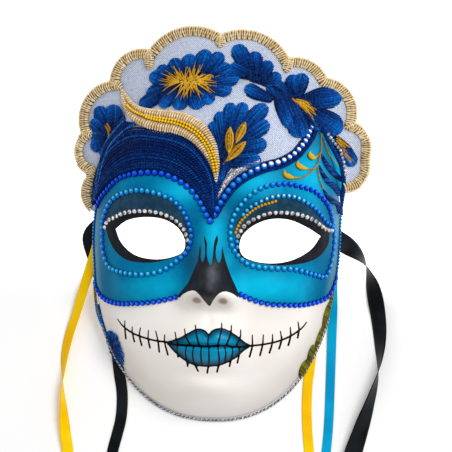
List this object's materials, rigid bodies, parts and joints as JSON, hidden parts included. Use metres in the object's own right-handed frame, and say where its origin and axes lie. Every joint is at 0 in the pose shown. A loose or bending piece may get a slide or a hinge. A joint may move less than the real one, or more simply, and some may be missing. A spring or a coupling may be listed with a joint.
{
  "type": "catrina mask",
  "caption": "Face mask of a skull lady in painted papier-mache, with eye holes, lines of glued beads, an embroidered scalloped headdress and tie ribbons, lying on its back.",
  "frame": {"origin": "on the table under the middle of the mask, ribbons not counted: centre of the bottom of its box, between the eyes", "axes": "+Z out of the face, which is up as the mask lies on its back; +Y from the chin to the top of the headdress; +X to the right as one looks at the face"},
  "size_m": [0.206, 0.3251, 0.0828],
  "materials": {
    "face_paint": "matt warm white paint on papier-mache, with a satin blue band over the eyes, a black nose and blue lips",
    "board": "matt, covered",
    "silver_cloth": "woven, slightly metallic",
    "gold_braid": "ribbed metallic thread",
    "navy_thread": "glossy twisted thread",
    "blue_thread": "satin stitch",
    "gold_thread": "metallic thread",
    "olive_thread": "chenille thread",
    "silver_cord": "metallic twisted cord",
    "royal_bead": "pearly gloss",
    "teal_bead": "pearly gloss",
    "yellow_bead": "gloss",
    "crystal": "faceted, foiled back",
    "black_ribbon": "satin",
    "yellow_ribbon": "satin",
    "blue_ribbon": "satin"
  },
  "bodies": {
    "root": {"face_shell": "face_paint", "crest_board": "board", "headdress_cloth": "silver_cloth", "crest_braid": "gold_braid", "hair_cords": "navy_thread", "crescent": "gold_braid", "crescent_beads": "yellow_bead", "flower_top_left": "blue_thread", "flower_top_middle": "blue_thread", "flower_top_right": "blue_thread", "leaf_small": "blue_thread", "leaf_middle": "blue_thread", "flower_left": "blue_thread", "leaf_right": "blue_thread", "brow_beads": "royal_bead", "left_eye_ring": "teal_bead", "right_eye_ring": "teal_bead", "right_inner_arc": "teal_bead", "left_crystals": "crystal", "right_crystals": "crystal", "left_cheek_beads": "royal_bead", "right_cheek_beads": "royal_bead", "left_side_beads": "teal_bead", "right_side_beads": "teal_bead", "temple_crystals": "crystal", "temple_cord": "navy_thread", "gold_drops": "gold_thread", "temple_stripe_1": "navy_thread", "temple_stripe_2": "navy_thread", "temple_stripe_3": "navy_thread", "jaw_rosette": "blue_thread", "left_jaw_cord": "navy_thread", "olive_trim": "olive_thread", "chin_cord": "silver_cord", "ribbon_black_left": "black_ribbon", "ribbon_black_right": "black_ribbon", "ribbon_yellow_left": "yellow_ribbon", "ribbon_yellow_right": "yellow_ribbon", "ribbon_blue_right": "blue_ribbon"}
  },
  "joints": []
}
